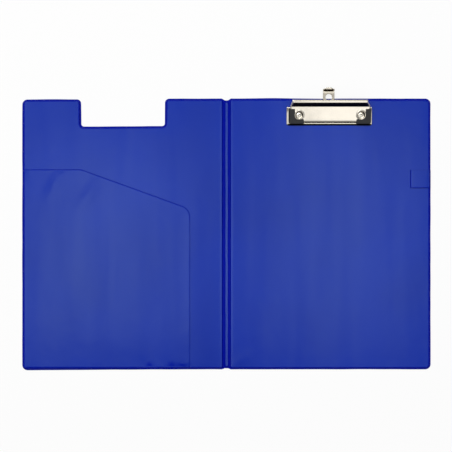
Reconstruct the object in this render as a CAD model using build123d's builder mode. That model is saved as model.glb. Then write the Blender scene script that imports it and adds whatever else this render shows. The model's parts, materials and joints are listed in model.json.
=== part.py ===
from build123d import *
from math import atan2, cos, degrees, pi, radians, sin, sqrt, tan
import os

os.makedirs("parts", exist_ok=True)

# An A4 fold-over clipboard folder, open and flat on its back, in millimetres.
# X runs across the covers with 0 in the middle of the spine, Y runs up the page, Z is up from the table.

# Folder panels
folder_height = 317.0
panel_width = 239.0
outer_corner_radius = 5.0
film = 0.25
core_thickness = 1.6
weld_width = 1.5
wall_run = 0.7
core_gap = 0.1

# Spine
crease_spacing = 10.0
crease_gap = 0.35
panel_setback = 0.6
ridge_half_width = 1.6
ridge_height = 1.0
scallop_half_width = 4.2
top_scallop_depth = 2.2
bottom_scallop_depth = 1.3

# Notch in the cover, which clears the lever when the folder is shut
notch_side_clearance = 1.1
notch_floor_clearance = 1.3
notch_mouth_radius = 5.0
notch_floor_radius = 3.0

# Document pocket on the cover
pocket_width = 196.5
pocket_left_height = 234.0
pocket_right_height = 188.0
pocket_shoulder = 69.3
pocket_corner_radius = 14.0
pocket_end_radius = 2.3

# Pen loop at the board's outer edge
loop_reach = 23.2
loop_width = 20.9
loop_height = 222.7
loop_film = 0.35
loop_gap = 0.3
loop_root_setback = 2.4
tail_setback = 1.75

# Clip placing and sheet
clip_x = 120.8
clip_width = 100.0
clip_sheet = 0.8
base_top = 9.8
base_bottom = 32.0
base_corner_radius = 2.0
side_rim_width = 1.8
side_rim_height = 2.6
front_rim_width = 0.8
front_rim_height = 1.6
lever_floor_top = 5.0
lever_floor_inset = 5.0

# Clip pin, ears and springs
pivot_drop = 11.6
pivot_rise = 3.4
pin_radius = 1.2
pin_head_radius = 1.8
pin_head_thickness = 0.4
ear_radius = 2.0
jaw_ear_radius = 2.2
ear_clearance = 0.05
jaw_ear_clearance = 0.08
jaw_side_gap = 3.2
spring_wire = 0.7
spring_radius = 2.05
spring_pitch = 1.25
spring_turns = 5
spring_inset = 30.0
spring_leg = 8.5
spring_clearance = 0.15

# Clip lever
jaw_slope = 10.0
lip_drop = 29.0
lip_clearance = 0.25
lip_bend = 1.0
lever_foot_drop = 10.5
lever_top_drop = 7.1
lever_top_rise = 12.2
lever_tip_drop = 3.7
lever_tip_inset = 3.2
lever_bend = 1.1
lever_roll = 0.9
lever_corner_radius = 1.6
jaw_hole_radius = 5.0
jaw_ring_width = 1.3
jaw_ring_height = 0.4
flange_drop = 2.0

# Grips at the corners of the lever's plate
grip_cover = 0.9
grip_side = 1.1
grip_front = 1.7
grip_top_drop = 13.2
grip_arm_width = 5.8
grip_arm_length = 17.2
grip_front_arm_width = 5.7
grip_inner_radius = 4.0
grip_outer_radius = 2.2

# Rivets
rivet_inset = 14.0
rivet_drop = 20.0
rivet_head_radius = 3.5
rivet_head_height = 1.5
rivet_shank_radius = 2.0
rivet_tail_radius = 3.4
rivet_tail_thickness = 0.5
rivet_clearance = 0.05

# Hanging tab
hanger_width = 13.5
hanger_sheet = 0.8
hanger_side_clearance = 0.2
hanger_float = 0.15
hanger_roof_clearance = 0.2
hanger_hole_radius = 3.65
hanger_hole_rise = 1.25
hanger_step_rise = 9.2
hanger_step_height = 3.3
hanger_step_run = 1.2
hanger_reach = 12.8
tongue_width = 9.0
tongue_round = 3.2
hanger_out = 5.0
hanger_in = 9.5
hanger_head_width = 17.8
hanger_head_length = 3.0
hanger_head_clearance = 0.3
neck_bottom = 7.5

# Places worked out from the sizes above
bottom_edge = -(folder_height + hanger_reach) / 2
top_edge = bottom_edge + folder_height
face_z = 2 * film + core_thickness
wall_slope = atan2(core_thickness, wall_run)
crease_x = crease_spacing / 2
film_inner_edge = crease_x + crease_gap
panel_inner_edge = crease_x + panel_setback - weld_width
pivot_y = top_edge - pivot_drop
pivot_z = face_z + pivot_rise
floor_top = face_z + clip_sheet
slope_run = cos(radians(jaw_slope))
slope_fall = tan(radians(jaw_slope))
jaw_ear_offset = clip_width / 2 - jaw_side_gap
grip_offset = jaw_ear_offset + grip_side
grip_bottom_drop = lip_drop + grip_front
notch_width = 2 * (grip_offset + notch_side_clearance)
notch_depth = grip_bottom_drop + notch_floor_clearance
rivet_offset = clip_width / 2 - rivet_inset
spring_offset = clip_width / 2 - spring_inset
plate_lift = spring_radius + spring_wire / 2 + spring_clearance + clip_sheet / 2
clip_plane = Plane(origin=(clip_x, 0, 0), x_dir=(0, 1, 0), z_dir=(1, 0, 0))


def plate_height(drop):
    """Height of the middle of the lever's plate at a distance below the board's top edge."""
    return pivot_z + plate_lift / slope_run - (drop - pivot_drop) * slope_fall


def board_outline(inner_edge, inset, all_corners):
    """The right-hand panel from inner_edge to its outer edge, drawn in by inset."""
    with BuildSketch() as outline:
        with Locations((inner_edge, bottom_edge)):
            Rectangle(panel_width - inner_edge, folder_height, align=(Align.MIN, Align.MIN))
        outer = outline.vertices().group_by(Axis.X)[-1]
        fillet(outline.vertices() if all_corners else outer, outer_corner_radius)
        if inset > 0:
            offset(amount=-inset)
    return outline.sketch


def cover_outline(inner_edge, inset, all_corners):
    """The left-hand panel with its notch, from its outer edge to inner_edge, drawn in by inset."""
    with BuildSketch() as outline:
        with Locations((-inner_edge, bottom_edge)):
            Rectangle(panel_width - inner_edge, folder_height, align=(Align.MAX, Align.MIN))
        outer = outline.vertices().group_by(Axis.X)[0]
        fillet(outline.vertices() if all_corners else outer, outer_corner_radius)
        with Locations((-clip_x, top_edge)):
            Rectangle(notch_width, 2 * notch_depth, mode=Mode.SUBTRACT)
        sides = outline.vertices().filter_by(lambda v: abs(abs(v.X + clip_x) - notch_width / 2) < film)
        fillet(sides.group_by(Axis.Y)[-1], notch_mouth_radius)
        sides = outline.vertices().filter_by(lambda v: abs(abs(v.X + clip_x) - notch_width / 2) < film)
        fillet(sides.group_by(Axis.Y)[0], notch_floor_radius)
        if inset > 0:
            offset(amount=-inset)
    return outline.sketch


def draped_block(outline, layers):
    """The board's core with a number of films laid over it and welded down round the edge."""
    spread = layers * film * tan(wall_slope / 2)
    with BuildPart() as block:
        if layers > 0:
            with BuildSketch(Plane.XY.offset(film)):
                add(outline(film_inner_edge, 0, False))
            extrude(amount=layers * film)
        with BuildSketch(Plane.XY.offset(film + layers * film)):
            add(outline(panel_inner_edge, weld_width - spread, True))
        extrude(amount=core_thickness, taper=90 - degrees(wall_slope))
    return block.part


def rivet_places():
    """Locations of the two rivets, at the height of the table."""
    places = [(clip_x - rivet_offset, top_edge - rivet_drop), (clip_x + rivet_offset, top_edge - rivet_drop)]
    return Locations(*places)


# Board: outer film, stiffener and inner film
with BuildPart() as board_back_film:
    with BuildSketch():
        add(board_outline(film_inner_edge, 0, False))
    extrude(amount=film)

with BuildPart() as board_core:
    with BuildSketch(Plane.XY.offset(film)):
        add(board_outline(panel_inner_edge, weld_width + wall_run + core_gap, True))
    extrude(amount=core_thickness)
    with BuildSketch(Plane.XY.offset(film)):
        with rivet_places():
            Circle(rivet_shank_radius + rivet_clearance)
    extrude(amount=core_thickness, mode=Mode.SUBTRACT)
    with BuildSketch(Plane.XY.offset(film)):
        with rivet_places():
            Circle(rivet_tail_radius + rivet_clearance)
    extrude(amount=rivet_tail_thickness, mode=Mode.SUBTRACT)

with BuildPart() as board_front_film:
    add(draped_block(board_outline, 1))
    add(draped_block(board_outline, 0), mode=Mode.SUBTRACT)
    with BuildSketch(Plane.XY.offset(film)):
        with rivet_places():
            Circle(rivet_shank_radius + rivet_clearance)
    extrude(amount=face_z, mode=Mode.SUBTRACT)

# Cover: outer film, stiffener and inner film, each with the notch
with BuildPart() as cover_back_film:
    with BuildSketch():
        add(cover_outline(film_inner_edge, 0, False))
    extrude(amount=film)

with BuildPart() as cover_core:
    with BuildSketch(Plane.XY.offset(film)):
        add(cover_outline(panel_inner_edge, weld_width + wall_run + core_gap, True))
    extrude(amount=core_thickness)

with BuildPart() as cover_front_film:
    add(draped_block(cover_outline, 1))
    add(draped_block(cover_outline, 0), mode=Mode.SUBTRACT)

# Pocket: one more film, welded at the cover's outer and bottom edges and free along the other three
with BuildPart() as document_pocket:
    add(draped_block(cover_outline, 2))
    add(draped_block(cover_outline, 1), mode=Mode.SUBTRACT)
    with BuildSketch() as pocket_outline:
        with BuildLine():
            Polyline(
                (-panel_width, bottom_edge),
                (-panel_width + pocket_width, bottom_edge),
                (-panel_width + pocket_width, bottom_edge + pocket_right_height),
                (-panel_width + pocket_shoulder, bottom_edge + pocket_left_height),
                (-panel_width, bottom_edge + pocket_left_height),
                close=True,
            )
        make_face()
        fillet(pocket_outline.vertices().sort_by(Axis.Y)[2], pocket_corner_radius)
        upper = pocket_outline.vertices().group_by(Axis.Y)[-1]
        fillet(upper.sort_by(Axis.X)[0], pocket_end_radius)
    extrude(amount=2 * face_z, mode=Mode.INTERSECT)

# Spine: two films welded at the creases, with a loose ridge between them on the inner side
spine_half = crease_x - crease_gap


def spine_ends():
    """The dips in the spine's two ends, as a sketch to cut away."""
    with BuildSketch() as dips:
        for depth, end, side in ((top_scallop_depth, top_edge, 1), (bottom_scallop_depth, bottom_edge, -1)):
            radius = (scallop_half_width**2 + depth**2) / (2 * depth)
            with Locations((0, end + side * (radius - depth))):
                Circle(radius)
    return dips.sketch


with BuildPart() as spine_back_film:
    with BuildSketch():
        with Locations((0, bottom_edge)):
            Rectangle(2 * spine_half, folder_height, align=(Align.CENTER, Align.MIN))
        add(spine_ends(), mode=Mode.SUBTRACT)
    extrude(amount=film)

with BuildPart() as spine_front_film:
    with BuildSketch(Plane.XZ.offset(-top_edge)):
        with BuildLine():
            Line((-spine_half, 2 * film), (-ridge_half_width, 2 * film))
            ThreePointArc(
                (-ridge_half_width, 2 * film), (0, 2 * film + ridge_height), (ridge_half_width, 2 * film)
            )
            Polyline(
                (ridge_half_width, 2 * film), (spine_half, 2 * film), (spine_half, film),
                (ridge_half_width - film, film),
            )
            ThreePointArc(
                (ridge_half_width - film, film), (0, film + ridge_height), (film - ridge_half_width, film)
            )
            Polyline(
                (film - ridge_half_width, film), (-spine_half, film), (-spine_half, 2 * film)
            )
        make_face()
    extrude(amount=folder_height)
    with BuildSketch():
        add(spine_ends())
    extrude(amount=face_z + ridge_height, mode=Mode.SUBTRACT)

# Pen loop: a flattened loop of film on the board, and its tail welded over the board's edge
loop_y = bottom_edge + loop_height
loop_thickness = 2 * loop_film + loop_gap
loop_length = loop_reach - loop_root_setback
loop_middle = panel_width - loop_root_setback - loop_length / 2

with BuildPart() as pen_loop:
    with BuildSketch(Plane.XZ.offset(-loop_y - loop_width / 2)):
        with Locations((loop_middle, face_z + loop_thickness / 2)):
            SlotOverall(loop_length, loop_thickness)
            SlotOverall(loop_length - 2 * loop_film, loop_gap, mode=Mode.SUBTRACT)
    extrude(amount=loop_width)

with BuildPart() as pen_loop_tail:
    add(draped_block(board_outline, 2))
    add(draped_block(board_outline, 1), mode=Mode.SUBTRACT)
    with BuildSketch():
        with Locations((panel_width, loop_y)):
            Rectangle(tail_setback, loop_width, align=(Align.MAX, Align.CENTER))
    extrude(amount=2 * face_z, mode=Mode.INTERSECT)

# Clip base: a pressed tray with side rims, ears for the pin and a channel for the hanging tab
head_top = neck_bottom + hanger_head_clearance + hanger_out
head_bottom = head_top + hanger_head_length
channel_bottom = head_bottom + hanger_in + hanger_head_clearance
neck_half = hanger_width / 2 + hanger_side_clearance
channel_half = hanger_head_width / 2 + hanger_head_clearance
channel_height = hanger_float + hanger_sheet + hanger_roof_clearance


def clip_rectangle(half_width, top, bottom):
    """A rectangle centred on the clip, between two distances below the board's top edge."""
    with Locations((clip_x, top_edge - (top + bottom) / 2)):
        return Rectangle(2 * half_width, bottom - top)


with BuildPart() as clip_base:
    # Rims round the sides and front, rounded over, with the front one lower
    with BuildSketch(Plane.XY.offset(face_z)) as tray:
        clip_rectangle(clip_width / 2, base_top, base_bottom)
        fillet(tray.vertices(), base_corner_radius)
        with Locations((clip_x, top_edge - base_bottom + front_rim_width)):
            Rectangle(
                clip_width - 2 * side_rim_width, folder_height,
                align=(Align.CENTER, Align.MIN), mode=Mode.SUBTRACT,
            )
    extrude(amount=side_rim_height)
    rim_edges = clip_base.edges().group_by(Axis.Z)[-1]
    fillet(rim_edges, min(front_rim_width, side_rim_width) / 2 - film / 4)
    with BuildSketch(Plane.XY.offset(face_z + front_rim_height)):
        clip_rectangle(clip_width / 2 - 2 * side_rim_width, base_bottom - 2 * side_rim_width, base_bottom)
    extrude(amount=side_rim_height, mode=Mode.SUBTRACT)
    # Floor, with a narrower stretch under the lever
    with BuildSketch(Plane.XY.offset(face_z)) as floor:
        clip_rectangle(clip_width / 2, base_top, base_bottom)
        fillet(floor.vertices(), base_corner_radius)
        clip_rectangle(clip_width / 2 - lever_floor_inset, lever_floor_top, base_bottom - base_corner_radius)
    extrude(amount=clip_sheet)
    # Ears for the pin
    for side in (-1, 1):
        ear_plane = clip_plane.offset(side * (clip_width / 2 - clip_sheet / 2))
        with BuildSketch(ear_plane):
            with Locations((pivot_y, face_z)):
                Rectangle(2 * ear_radius, pivot_rise, align=(Align.CENTER, Align.MIN))
            with Locations((pivot_y, pivot_z)):
                Circle(ear_radius)
        extrude(amount=clip_sheet / 2, both=True)
    # Raised channel for the hanging tab
    with BuildSketch(Plane.XY.offset(face_z)):
        clip_rectangle(channel_half + clip_sheet, lever_floor_top, channel_bottom + clip_sheet)
    extrude(amount=channel_height + clip_sheet)
    with BuildSketch(Plane.XY.offset(face_z)):
        clip_rectangle(neck_half, lever_floor_top, neck_bottom)
        clip_rectangle(channel_half, neck_bottom, channel_bottom)
    extrude(amount=channel_height, mode=Mode.SUBTRACT)
    # Holes for the pin and the rivets
    with BuildSketch(clip_plane):
        with Locations((pivot_y, pivot_z)):
            Circle(pin_radius + ear_clearance)
    extrude(amount=clip_width, both=True, mode=Mode.SUBTRACT)
    with BuildSketch(Plane.XY.offset(face_z)):
        with rivet_places():
            Circle(rivet_shank_radius + rivet_clearance)
    extrude(amount=clip_sheet, mode=Mode.SUBTRACT)

with BuildPart() as pivot_pin:
    with BuildSketch(clip_plane):
        with Locations((pivot_y, pivot_z)):
            Circle(pin_radius)
    extrude(amount=clip_width / 2 + pin_head_thickness, both=True)
    for side in (-1, 1):
        with BuildSketch(clip_plane.offset(side * (clip_width / 2 + pin_head_thickness / 2))):
            with Locations((pivot_y, pivot_z)):
                Circle(pin_head_radius)
        extrude(amount=pin_head_thickness / 2, both=True)

# Rivets: a domed head on the clip, a shank through the board and a tail let into the stiffener
with BuildPart() as clip_rivets:
    head_sphere = (rivet_head_radius**2 + rivet_head_height**2) / (2 * rivet_head_height)
    with rivet_places():
        with Locations((0, 0, floor_top + rivet_head_height - head_sphere)):
            Sphere(head_sphere)
        with Locations((0, 0, floor_top)):
            Box(
                3 * head_sphere, 3 * head_sphere, 3 * head_sphere,
                align=(Align.CENTER, Align.CENTER, Align.MAX), mode=Mode.SUBTRACT,
            )
    with BuildSketch(Plane.XY.offset(film)):
        with rivet_places():
            Circle(rivet_shank_radius)
    extrude(amount=floor_top - film)
    with BuildSketch(Plane.XY.offset(film)):
        with rivet_places():
            Circle(rivet_tail_radius)
    extrude(amount=rivet_tail_thickness)


# Springs: a coil round the pin with one leg on the tray's floor and one under the lever's plate
def arc_meeting(start, start_way, end, end_way):
    """Where two arcs meet that leave start and reach end in the given directions."""
    chord = end - start
    ways = start_way + end_way
    square = 4 - ways.dot(ways)
    slope = 2 * chord.dot(ways)
    reach = (-slope + sqrt(slope**2 + 4 * square * chord.dot(chord))) / (2 * square)
    return (start + start_way * reach + end - end_way * reach) / 2


def spring_point(angle, start_x, side):
    """A point of the coil's middle line, and the direction there, at an angle about the pin."""
    along = side * spring_pitch / (2 * pi)
    turned = angle + pi / 2
    point = Vector(
        start_x + along * turned, pivot_y + spring_radius * cos(angle), pivot_z + spring_radius * sin(angle)
    )
    way = Vector(along, -spring_radius * sin(angle), spring_radius * cos(angle)).normalized()
    return point, way


def spring_path(side):
    """The unbroken middle line of one spring, which winds away from the clip's middle."""
    sweep_angle = 2 * pi * spring_turns + pi + radians(jaw_slope)
    quarters = round(sweep_angle / (pi / 2))
    start_x = clip_x + side * spring_offset
    stops = [spring_point(-pi / 2 + sweep_angle * i / quarters, start_x, side) for i in range(quarters + 1)]
    first, first_way = stops[0]
    last, last_way = stops[-1]
    with BuildLine() as path:
        Line(first - first_way * spring_leg, first)
        for (here, here_way), (there, there_way) in zip(stops, stops[1:]):
            meeting = arc_meeting(here, here_way, there, there_way)
            first_arc = TangentArc(here, meeting, tangent=here_way)
            TangentArc(meeting, there, tangent=first_arc % 1)
        Line(last, last + last_way * spring_leg)
    return path.line, first - first_way * spring_leg, first_way


def least_gap(path):
    """The least gap between turns of a swept wire, measured on points of its middle line."""
    wire = Wire(path.edges())
    count = 40 * spring_turns
    points = [wire.position_at(i / count) for i in range(count + 1)]
    apart = max(2, round(2 * pi * spring_radius * 0.4 / (wire.length / count)))
    gaps = [(a - b).length for i, a in enumerate(points) for b in points[i + apart:]]
    return min(gaps) - spring_wire


with BuildPart() as torsion_spring_left:
    left_path, left_start, left_way = spring_path(-1)
    with BuildSketch(Plane(origin=left_start, z_dir=left_way)):
        Circle(spring_wire / 2)
    sweep(path=left_path)

with BuildPart() as torsion_spring_right:
    right_path, right_start, right_way = spring_path(1)
    with BuildSketch(Plane(origin=right_start, z_dir=right_way)):
        Circle(spring_wire / 2)
    sweep(path=right_path)

print("least gap in a spring, mm:", round(least_gap(left_path), 3), round(least_gap(right_path), 3))

# Lever: one pressed plate from the lip over the pin and up to the finger edge
lip_middle = lip_drop - clip_sheet / 2
jaw_bottom = floor_top + lip_clearance

with BuildPart() as jaw_plate:
    with BuildSketch(clip_plane):
        with BuildLine() as profile:
            FilletPolyline(
                (top_edge - lip_middle, jaw_bottom),
                (top_edge - lip_middle, plate_height(lip_middle)),
                (top_edge - lever_foot_drop, plate_height(lever_foot_drop)),
                (top_edge - lever_top_drop, face_z + lever_top_rise),
                (top_edge - lever_tip_drop, face_z + lever_top_rise),
                (top_edge - lever_tip_drop + lever_roll / 2, face_z + lever_top_rise - 2 * lever_roll),
                radius=[lip_bend, lever_bend, lever_bend, lever_roll],
            )
        trace(profile.line, clip_sheet)
    extrude(amount=jaw_ear_offset, both=True)
    # Side flanges, with a round ear about the pin
    for side in (-1, 1):
        with BuildSketch(clip_plane.offset(side * (jaw_ear_offset - clip_sheet / 2))):
            with BuildLine():
                Polyline(
                    (top_edge - lip_middle, plate_height(lip_middle) - lip_bend),
                    (top_edge - lip_middle + lip_bend, plate_height(lip_middle - lip_bend)),
                    (pivot_y, plate_height(pivot_drop)),
                    (pivot_y + jaw_ear_radius, plate_height(lever_foot_drop)),
                    (pivot_y + jaw_ear_radius, pivot_z),
                    (pivot_y, pivot_z - flange_drop),
                    (top_edge - lip_middle, jaw_bottom + lip_clearance),
                    close=True,
                )
            make_face()
            with Locations((pivot_y, pivot_z)):
                Circle(jaw_ear_radius)
        extrude(amount=clip_sheet / 2, both=True)
    # Raised rings round the two holes over the rivets
    ring_plane = Plane(
        origin=(clip_x, top_edge - rivet_drop, plate_height(rivet_drop)),
        x_dir=(1, 0, 0), z_dir=(0, -sin(radians(jaw_slope)), cos(radians(jaw_slope))),
    )
    with BuildSketch(ring_plane):
        with Locations((-rivet_offset, 0), (rivet_offset, 0)):
            Circle(jaw_hole_radius + jaw_ring_width)
    extrude(amount=clip_sheet / 2 + jaw_ring_height)
    ring_edges = jaw_plate.edges().filter_by(GeomType.CIRCLE)
    ring_edges = ring_edges.filter_by(lambda e: abs(e.radius - jaw_hole_radius - jaw_ring_width) < 0.001)
    chamfer(ring_edges.group_by(Axis.Z)[-1], jaw_ring_height * 0.9)
    with BuildSketch(ring_plane):
        with Locations((-rivet_offset, 0), (rivet_offset, 0)):
            Circle(jaw_hole_radius)
    extrude(amount=clip_width / 10, both=True, mode=Mode.SUBTRACT)
    # The lever narrows from the plate to the finger edge
    with BuildSketch() as lever_outline:
        tip_half = jaw_ear_offset - lever_tip_inset
        tip_y = top_edge - lever_tip_drop + (lever_roll + clip_sheet) / 2
        waist_y = pivot_y + jaw_ear_radius
        with BuildLine():
            Polyline(
                (clip_x - jaw_ear_offset, top_edge - lip_drop),
                (clip_x + jaw_ear_offset, top_edge - lip_drop),
                (clip_x + jaw_ear_offset, waist_y),
                (clip_x + tip_half, top_edge - lever_top_drop),
                (clip_x + tip_half, tip_y),
                (clip_x - tip_half, tip_y),
                (clip_x - tip_half, top_edge - lever_top_drop),
                (clip_x - jaw_ear_offset, waist_y),
                close=True,
            )
        make_face()
        fillet(lever_outline.vertices().group_by(Axis.Y)[-1], lever_corner_radius)
    extrude(amount=face_z + 2 * lever_top_rise, mode=Mode.INTERSECT)
    with BuildSketch(clip_plane):
        with Locations((pivot_y, pivot_z)):
            Circle(pin_radius + jaw_ear_clearance)
    extrude(amount=clip_width, both=True, mode=Mode.SUBTRACT)


# Grips: soft L-shaped caps on the two front corners of the lever's plate
def grip_block(side):
    """One grip before the plate is cut out of it. side is -1 on the left and 1 on the right."""
    outer_x = clip_x + side * grip_offset
    arm_x = outer_x - side * grip_arm_width
    arm_end_x = outer_x - side * grip_arm_length
    front_y = top_edge - grip_bottom_drop
    arm_y = front_y + grip_front_arm_width
    back_y = top_edge - grip_top_drop
    cover_height = (clip_sheet / 2 + grip_cover) / slope_run
    with BuildPart() as block:
        with BuildSketch(clip_plane):
            with BuildLine():
                Polyline(
                    (front_y, jaw_bottom),
                    (front_y, plate_height(grip_bottom_drop) + cover_height),
                    (back_y, plate_height(grip_top_drop) + cover_height),
                    (back_y, jaw_bottom),
                    close=True,
                )
            make_face()
        extrude(amount=side * grip_offset)
        top_edges = block.edges().filter_by(Axis.X).sort_by(Axis.Y)[:2].sort_by(Axis.Z)[-1]
        fillet(top_edges, grip_cover)
        with BuildSketch() as corner:
            with BuildLine():
                Polyline(
                    (outer_x, back_y), (arm_x, back_y), (arm_x, arm_y),
                    (arm_end_x, arm_y), (arm_end_x, front_y), (outer_x, front_y),
                    close=True,
                )
            make_face()
            fillet(corner.vertices().sort_by_distance((arm_x, arm_y))[0], grip_inner_radius)
            fillet(corner.vertices().sort_by_distance((outer_x, front_y))[0], grip_outer_radius)
        extrude(amount=face_z + 2 * lever_top_rise, mode=Mode.INTERSECT)
    return block.part


with BuildPart() as grip_corner_left:
    add(grip_block(-1))
    add(jaw_plate.part, mode=Mode.SUBTRACT)

with BuildPart() as grip_corner_right:
    add(grip_block(1))
    add(jaw_plate.part, mode=Mode.SUBTRACT)

# Hanging tab: a flat strip with a stop head in the channel, a hole and a raised finger tongue
strip_middle = face_z + hanger_float + hanger_sheet / 2
tongue_foot = hanger_step_rise + hanger_step_run

with BuildPart() as hanger_tab:
    with BuildSketch(clip_plane):
        with BuildLine() as tab_profile:
            FilletPolyline(
                (top_edge - head_bottom, strip_middle),
                (top_edge + hanger_step_rise, strip_middle),
                (top_edge + tongue_foot, strip_middle + hanger_step_height),
                (top_edge + hanger_reach, strip_middle + hanger_step_height),
                radius=hanger_sheet,
            )
        trace(tab_profile.line, hanger_sheet)
    extrude(amount=hanger_head_width / 2, both=True)
    with BuildSketch() as tab_outline:
        clip_rectangle(hanger_head_width / 2, head_top, head_bottom)
        clip_rectangle(hanger_width / 2, -tongue_foot, head_bottom)
        with BuildLine():
            Polyline(
                (clip_x - hanger_width / 2, top_edge + tongue_foot),
                (clip_x + hanger_width / 2, top_edge + tongue_foot),
                (clip_x + tongue_width / 2, top_edge + hanger_reach),
                (clip_x - tongue_width / 2, top_edge + hanger_reach),
                close=True,
            )
        make_face()
        fillet(tab_outline.vertices().group_by(Axis.Y)[-1], tongue_round)
        with Locations((clip_x, top_edge + hanger_hole_rise)):
            Circle(hanger_hole_radius, mode=Mode.SUBTRACT)
    extrude(amount=face_z + 2 * lever_top_rise, mode=Mode.INTERSECT)

# Labels and files
pieces = {
    "board_back_film": board_back_film,
    "board_core": board_core,
    "board_front_film": board_front_film,
    "clip_base": clip_base,
    "clip_rivets": clip_rivets,
    "pivot_pin": pivot_pin,
    "torsion_spring_left": torsion_spring_left,
    "torsion_spring_right": torsion_spring_right,
    "pen_loop_tail": pen_loop_tail,
    "spine_back_film": spine_back_film,
    "spine_front_film": spine_front_film,
    "cover_back_film": cover_back_film,
    "cover_core": cover_core,
    "cover_front_film": cover_front_film,
    "document_pocket": document_pocket,
    "jaw_plate": jaw_plate,
    "grip_corner_left": grip_corner_left,
    "grip_corner_right": grip_corner_right,
    "hanger_tab": hanger_tab,
    "pen_loop": pen_loop,
}
for name, piece in pieces.items():
    piece.part.label = name
    export_step(piece.part, f"parts/{name}.step")

print("bottom edge, top edge, face height:", bottom_edge, top_edge, face_z)
print("pin:", clip_x, round(pivot_y, 3), round(pivot_z, 3))
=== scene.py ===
import bpy
import json
import math
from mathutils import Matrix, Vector, noise
from mathutils.geometry import delaunay_2d_cdt


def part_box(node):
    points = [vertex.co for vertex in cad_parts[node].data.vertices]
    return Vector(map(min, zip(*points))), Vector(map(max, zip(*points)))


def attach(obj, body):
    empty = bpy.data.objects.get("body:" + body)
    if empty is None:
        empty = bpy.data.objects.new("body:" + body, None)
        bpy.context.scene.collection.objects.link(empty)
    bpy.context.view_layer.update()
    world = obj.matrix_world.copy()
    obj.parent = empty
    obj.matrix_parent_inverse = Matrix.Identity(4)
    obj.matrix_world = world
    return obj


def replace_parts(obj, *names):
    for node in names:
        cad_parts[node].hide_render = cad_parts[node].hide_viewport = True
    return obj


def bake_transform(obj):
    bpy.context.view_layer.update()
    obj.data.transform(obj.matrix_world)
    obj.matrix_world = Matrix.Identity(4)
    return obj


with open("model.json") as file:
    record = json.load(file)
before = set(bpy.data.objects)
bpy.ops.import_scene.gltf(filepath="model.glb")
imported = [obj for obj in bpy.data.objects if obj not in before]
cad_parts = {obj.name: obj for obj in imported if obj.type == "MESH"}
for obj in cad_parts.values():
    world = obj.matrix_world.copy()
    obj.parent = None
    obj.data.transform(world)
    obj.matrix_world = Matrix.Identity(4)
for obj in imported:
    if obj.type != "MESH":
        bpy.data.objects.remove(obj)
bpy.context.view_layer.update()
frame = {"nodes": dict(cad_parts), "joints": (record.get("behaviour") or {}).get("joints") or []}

mm = 0.001
nodes = frame["nodes"]
joints = {joint["name"]: joint for joint in frame["joints"]}
scene = bpy.context.scene


# Colours, nodes and small mesh helpers

def linearColour(hexColour, strength=1.0):
    # sRGB hex to the linear values that shaders take
    values = []
    for i in (1, 3, 5):
        c = int(hexColour[i:i + 2], 16) / 255
        values.append((c / 12.92 if c <= 0.04045 else ((c + 0.055) / 1.055) ** 2.4) * strength)
    return (*values, 1.0)


def addNode(tree, kind, settings=None, links=None):
    # settings are node properties or input values; links lead inputs to sockets, or to nodes' first outputs
    node = tree.nodes.new("ShaderNode" + kind)
    for key, value in (settings or {}).items():
        if isinstance(key, str) and hasattr(node, key):
            setattr(node, key, value)
        else:
            node.inputs[key].default_value = value
    for key, source in (links or {}).items():
        tree.links.new(getattr(source, "outputs", [source])[0], node.inputs[key])
    return node


def makeMaterial(name, shade, *settings):
    # shade adds a material's nodes to its tree and returns its shader
    material = bpy.data.materials.new(name)
    material.use_nodes = True
    material.node_tree.nodes.clear()
    shader = shade(material.node_tree, *settings)
    addNode(material.node_tree, "OutputMaterial", {}, {"Surface": shader})
    return material


def smoothStep(low, high, value):
    t = min(1.0, max(0.0, (value - low) / (high - low)))
    return t * t * (3 - 2 * t)


def wave(x, y, size, seed):
    # smooth noise from -1 to 1 with features of about size millimetres
    return noise.noise(Vector((x / size + seed * 7.3, y / size - seed * 3.1, seed * 1.7)))


def addObject(name, points, faces, material, smooth=True):
    mesh = bpy.data.meshes.new(name)
    mesh.from_pydata([Vector(p) * mm for p in points], [], faces)
    mesh.validate()
    mesh.materials.append(material)
    mesh.polygons.foreach_set("use_smooth", [smooth] * len(mesh.polygons))
    piece = bpy.data.objects.new(name, mesh)
    scene.collection.objects.link(piece)
    return piece


def turned(profile, sides, place):
    # a solid turned on an axis, from (radius, along) pairs; place turns two offsets and a length into x, y, z
    points, rings, faces = [], [], []
    for radius, along in profile:
        count = sides if radius else 1
        rings.append(range(len(points), len(points) + count))
        angles = [2 * math.pi * k / count for k in range(count)]
        points += [place(radius * math.cos(angle), radius * math.sin(angle), along) for angle in angles]
    for a, b in zip(rings, rings[1:]):
        for k in range(max(len(a), len(b))):
            quad = (a[k % len(a)], a[(k + 1) % len(a)], b[(k + 1) % len(b)], b[k % len(b)])
            faces.append(tuple(dict.fromkeys(quad)))      # a triangle where a ring is a single point
    return points, faces


def joinParts(parts):
    points, faces = [], []
    for partPoints, partFaces in parts:
        faces += [tuple(i + len(points) for i in face) for face in partFaces]
        points += partPoints
    return points, faces


def loosePoints(box, grid, sway):
    # a square grid over (left, bottom, right, top), each point nudged so that no long straight rows are left
    left, bottom, right, top = box
    for i in range(int((right - left) / grid)):
        for j in range(int((top - bottom) / grid)):
            yield (left + (i + 0.5 + sway * math.sin(7.1 * i + 2.3 * j)) * grid,
                   bottom + (j + 0.5 + sway * math.sin(3.7 * i - 5.9 * j)) * grid)


def loopOf(count, first=0):
    return [(first + k, first + (k + 1) % count) for k in range(count)]


# Sizes read from the frame, in millimetres

def boxMm(node):
    low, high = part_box(node)
    return [v / mm for v in low], [v / mm for v in high]


boardLow, boardHigh = boxMm("board_front_film")
coverLow = boxMm("cover_front_film")[0]
pocketLow, pocketHigh = boxMm("document_pocket")
loopLow, loopHigh = boxMm("pen_loop")
clipLow, clipHigh = boxMm("clip_base")

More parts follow.
